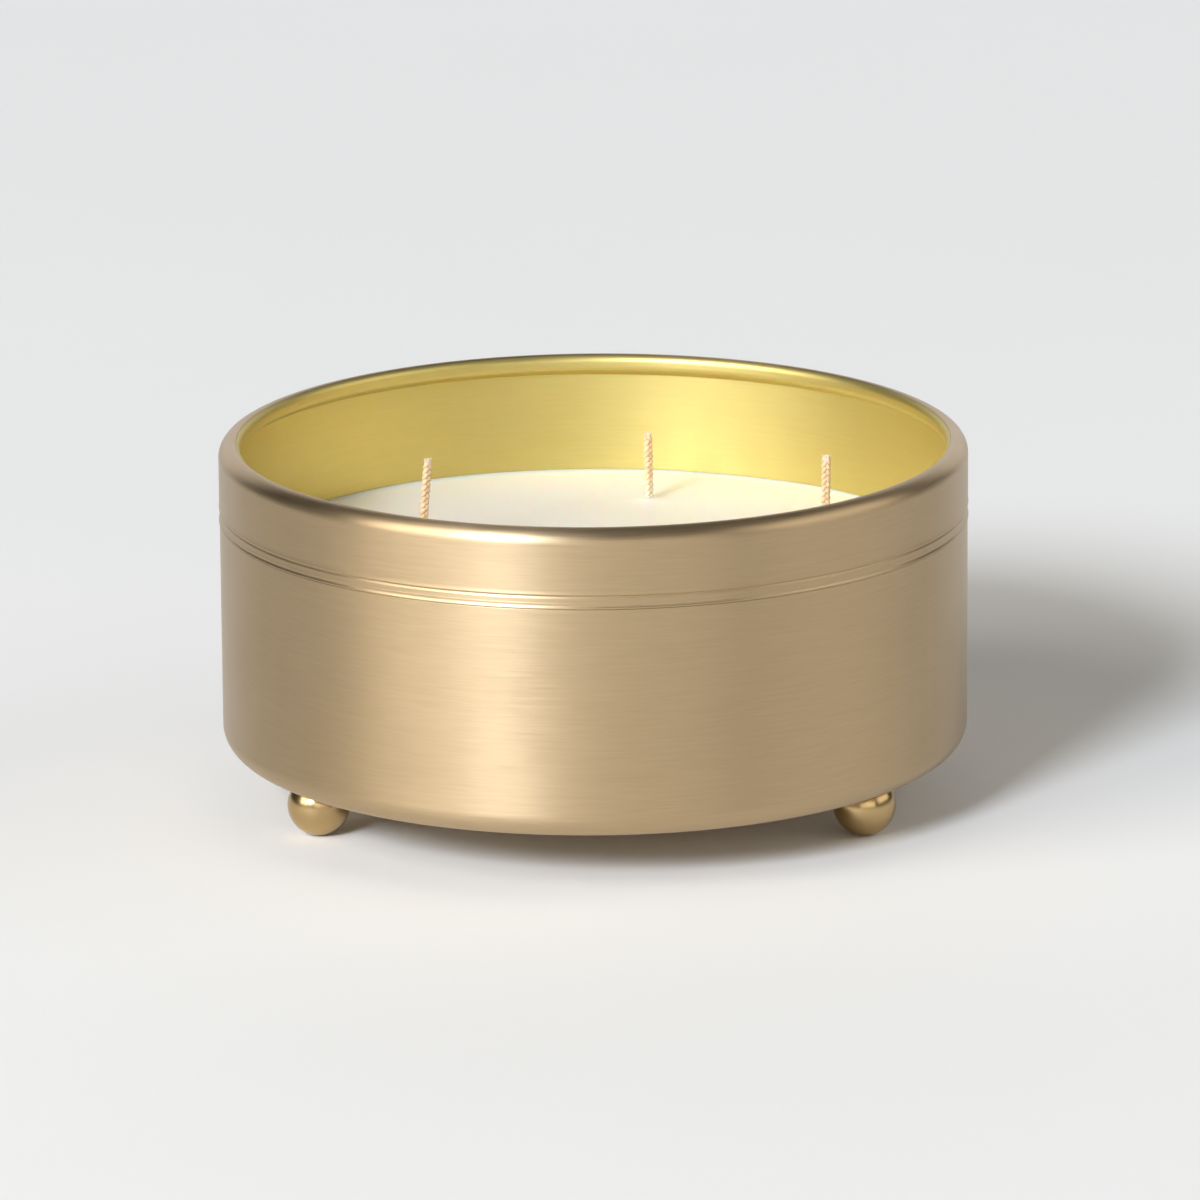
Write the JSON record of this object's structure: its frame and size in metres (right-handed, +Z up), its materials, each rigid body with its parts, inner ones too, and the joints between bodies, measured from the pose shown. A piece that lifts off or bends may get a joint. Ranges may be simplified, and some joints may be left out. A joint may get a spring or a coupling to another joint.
{
  "type": "candle tin",
  "caption": "Round low candle tin in brushed brass with a rolled rim, a gold-lacquered liner, cream wax with upright cotton wicks, and small polished ball feet.",
  "frame": {"origin": "on the surface that the feet stand on, directly under the tin's axis", "axes": "+Z up along the tin's axis; -Y is the front, midway between the two front feet; +X is to the right seen from the front"},
  "size_m": [0.1502, 0.1502, 0.0735],
  "materials": {
    "brushed_brass": "satin",
    "gold_lacquer": "satin",
    "polished_brass": "polished",
    "wax": "satin",
    "cotton": "matte",
    "zinc_steel": "satin",
    "glue": "matte"
  },
  "bodies": {
    "root": {"outer_shell": "brushed_brass", "rim_collar": "brushed_brass", "inner_cup": "gold_lacquer", "wax_fill": "wax", "wick_left": "cotton", "wick_right": "cotton", "wick_back": "cotton", "wick_tab_left": "zinc_steel", "wick_tab_right": "zinc_steel", "wick_tab_back": "zinc_steel", "glue_dot_left": "glue", "glue_dot_right": "glue", "glue_dot_back": "glue", "ball_foot_front_left": "polished_brass", "ball_foot_front_right": "polished_brass", "ball_foot_back": "polished_brass", "foot_screw_front_left": "zinc_steel", "foot_screw_front_right": "zinc_steel", "foot_screw_back": "zinc_steel", "foot_washer_front_left": "zinc_steel", "foot_washer_front_right": "zinc_steel", "foot_washer_back": "zinc_steel"}
  },
  "joints": []
}
